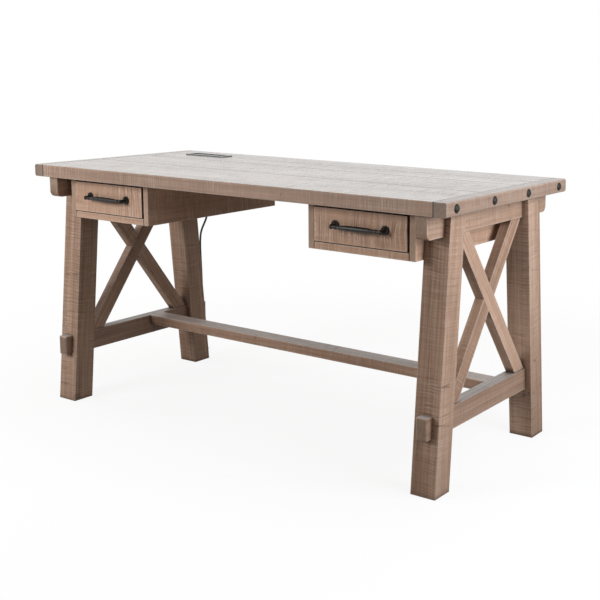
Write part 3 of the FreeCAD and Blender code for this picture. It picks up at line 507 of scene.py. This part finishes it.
def plain_material(name, colour, rough, metal, grain, bump, spread, specular):
    """Metal, plastic or rubber with a fine grain in colour, gloss and relief."""
    material = bpy.data.materials.new(name)
    material.use_nodes = True
    tree = material.node_tree
    shader = tree.nodes["Principled BSDF"]
    coord = put(tree, "TexCoord").outputs["Object"]
    fine = noise(tree, coord, (grain,) * 3, 3.0)
    broad = noise(tree, coord, (grain / BROAD_TO_FINE,) * 3, 2.0)
    light = tuple(min(1.0, part * (1 + spread)) for part in colour)
    dark = tuple(part * (1 - spread) for part in colour)
    tint = blend_colour(tree, step(tree, broad, 0.35, 0.65), dark, light)
    gloss = times_add(tree, fine, ROUGH_SPREAD, rough - ROUGH_SPREAD / 2)
    relief = put(tree, "Bump", {"Strength": bump, "Distance": FINE_RELIEF, "Height": fine})
    tree.links.new(tint, shader.inputs["Base Color"])
    tree.links.new(gloss, shader.inputs["Roughness"])
    tree.links.new(relief.outputs[0], shader.inputs["Normal"])
    shader.inputs["Metallic"].default_value = metal
    shader.inputs["Specular IOR Level"].default_value = specular
    return material


def finish_rest():
    """Give the nodes that aren't wood their materials, and return the materials by name."""
    made = {name: plain_material(name, *look) for name, look in PLAIN_LOOKS.items()}
    for name, item in nodes.items():
        chosen = next((finish for start, finish in FINISHES if name.startswith(start)), None)
        if chosen:
            item.material_slots[0].material = made[chosen]
    return made


# ---------------------------------------------------------------- screws

PULL_SPAN = 0.159
PULL_HEIGHT = 0.671
SCREW_RADIUS = 0.0046
SCREW_RISE = 0.0022
SCREW_RINGS, SCREW_SLICES = 10, 48
SCREW_DOME = 0.7  # share of the rise that the head loses towards its edge
RECESS_LONG, RECESS_WIDE, RECESS_DEEP = 0.62, 0.13, 0.45  # half sizes as shares of the radius, and of the rise
SCREW_SUNK = 0.1  # share of the rise that the rim goes into the wood
FIRST_RING = 0.3
PLANK_SCREW_OFF = 0.25  # how far from a plank's middle its screws stand, as a share of its width


def node_extent(name):
    return extent([vertex.co for vertex in nodes[name].data.vertices])


def screw_head(mesh, spot, out):
    """A domed head with a crossed recess, sunk a little into the wood."""
    side = out.orthogonal().normalized()
    up = out.cross(side)
    loops = []
    for ring in range(SCREW_RINGS + 2):
        share = min(1.0, (ring + FIRST_RING) / (SCREW_RINGS + FIRST_RING))
        loop = []
        for index in range(SCREW_SLICES):
            angle = math.tau * index / SCREW_SLICES
            across, along = share * math.cos(angle), share * math.sin(angle)
            recess = share < RECESS_LONG and min(abs(across), abs(along)) < RECESS_WIDE
            rise = SCREW_RISE * (1 - SCREW_DOME * share ** 2 - (RECESS_DEEP if recess else 0))
            if ring > SCREW_RINGS:
                rise = -SCREW_SUNK * SCREW_RISE
            loop.append(mesh.verts.new(spot + out * rise + (side * across + up * along) * SCREW_RADIUS))
        loops.append(loop)
    for inner, outer in zip(loops, loops[1:]):
        for index in range(SCREW_SLICES):
            after = (index + 1) % SCREW_SLICES
            mesh.faces.new((inner[index], outer[index], outer[after], inner[after]))
    mesh.faces.new(loops[0])
    mesh.faces.new(loops[-1][::-1])


def screws(name, spots, out, body, material):
    """One piece with a screw head at each spot, all facing the same way."""
    mesh = bmesh.new()
    for spot in spots:
        screw_head(mesh, Vector(spot), Vector(out))
    bmesh.ops.recalc_face_normals(mesh, faces=mesh.faces)
    data = bpy.data.meshes.new(name)
    mesh.to_mesh(data)
    mesh.free()
    data.materials.append(material)
    piece = bpy.data.objects.new(name, data)
    scene.collection.objects.link(piece)
    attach(piece, body)


def make_screws(material):
    """Screws that hold each pull from inside its drawer, and each plank to the battens."""
    for side in SIDES:
        low, high = node_extent("pull_" + side)
        middle = (low.x + high.x) / 2
        back = node_extent("drawer_front_" + side)[1].y
        spots = [(middle + hand * PULL_SPAN / 2, back, PULL_HEIGHT) for hand in (-1, 1)]
        screws("pull_screws_" + side, spots, (0, 1, 0), "drawer_" + side, material)
        low, high = node_extent("batten_" + side)
        spots = []
        for index in range(1, PLANK_COUNT + 1):
            front, rear = node_extent(f"plank_{index}")
            for hand in (-1, 1):
                y = (front.y + rear.y) / 2 + hand * PLANK_SCREW_OFF * (rear.y - front.y)
                if low.y + 2 * SCREW_RADIUS < y < high.y - 2 * SCREW_RADIUS:
                    spots.append(((low.x + high.x) / 2, y, low.z))
        screws("batten_screws_" + side, spots, (0, 0, -1), "desk", material)


# ---------------------------------------------------------------- cord

CORD_ROUTE = [
    (-0.556, 0.220, 0.672),
    (-0.557, 0.222, 0.620),
    (-0.566, 0.229, 0.572),
    (-0.589, 0.243, 0.534),
    (-0.618, 0.257, 0.506),
    (-0.645, 0.270, 0.476),
    (-0.661, 0.282, 0.436),
    (-0.672, 0.294, 0.384),
    (-0.684, 0.309, 0.314),
    (-0.694, 0.320, 0.242),
    (-0.701, 0.326, 0.164),
    (-0.703, 0.329, 0.084),
    (-0.706, 0.338, 0.026),
    (-0.717, 0.356, 0.0054),
    (-0.7337, 0.3859, 0.0051),
]
# from the end of the last turn to the plug, which lies behind the coil on its left
CORD_TAIL = [
    (-0.7740, 0.4060, 0.0121),
    (-0.7834, 0.4095, 0.0115),
    (-0.7952, 0.4074, 0.0110),
    (-0.8060, 0.4055, 0.0110),
]
CORD_SIZE = 0.007
COIL = Vector((-0.775, 0.362))
COIL_LANES = ((0.0405, 0.0051), (0.0335, 0.0051), (0.0335, 0.0121), (0.0405, 0.0121))  # radius and height
TURN_POINTS = 18
COIL_STARTS = 30  # degrees
SKIPPED_POINTS = 2  # the first points of the coil, where the route comes in
PAST_LAST_TURN = 25  # degrees
LANE_CHANGE = 0.85  # share of a turn after which the cord goes over to the next lane


def coil_points():
    """Four turns in two layers: out and in below, in and out above, then off to the plug."""
    step_angle = 360 / TURN_POINTS
    grow = 1 / math.cos(math.pi / TURN_POINTS) ** 0.5  # the curve runs a little inside its control points
    first = COIL_STARTS + SKIPPED_POINTS * step_angle
    last = COIL_STARTS + len(COIL_LANES) * 360 + PAST_LAST_TURN
    count = int((last - first) / step_angle)
    last_lane = len(COIL_LANES) - 1
    points = []
    for index in range(count + 1):
        angle = first + index * step_angle
        turns = (angle - COIL_STARTS) / 360
        lane = min(last_lane, int(turns))
        radius, height = COIL_LANES[lane]
        left = turns - lane
        if lane < last_lane and left > LANE_CHANGE:
            share = (left - LANE_CHANGE) / (1 - LANE_CHANGE)
            share = share * share * (3 - 2 * share)
            radius += (COIL_LANES[lane + 1][0] - radius) * share
            height += (COIL_LANES[lane + 1][1] - height) * share
        spot = math.radians(angle)
        points.append((COIL.x + radius * grow * math.cos(spot),
                       COIL.y + radius * grow * math.sin(spot), height))
    return points


def make_cord(material):
    """The outlet's cord as one smooth line: down behind the case, into its coil and to the plug."""
    points = CORD_ROUTE + coil_points() + CORD_TAIL
    data = bpy.data.curves.new("cord_line", "CURVE")
    data.dimensions = "3D"
    data.resolution_u = 6
    data.bevel_depth = CORD_SIZE / 2
    data.bevel_resolution = 4
    data.use_fill_caps = True
    spline = data.splines.new("NURBS")
    spline.points.add(len(points) - 1)
    for point, place in zip(spline.points, points):
        point.co = (*place, 1)
    spline.order_u = 3
    spline.use_endpoint_u = True
    cord = bpy.data.objects.new("cord_line", data)
    scene.collection.objects.link(cord)
    data.materials.append(material)
    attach(cord, "desk")
    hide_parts("cord", "cord_coil")


make_camera()
make_world()
for name, settings in LIGHTS.items():
    area_light(name, *settings)
make_floor()
finish_wood()
materials = finish_rest()
make_cord(materials["cord_rubber"])
make_screws(materials["slide_steel"])
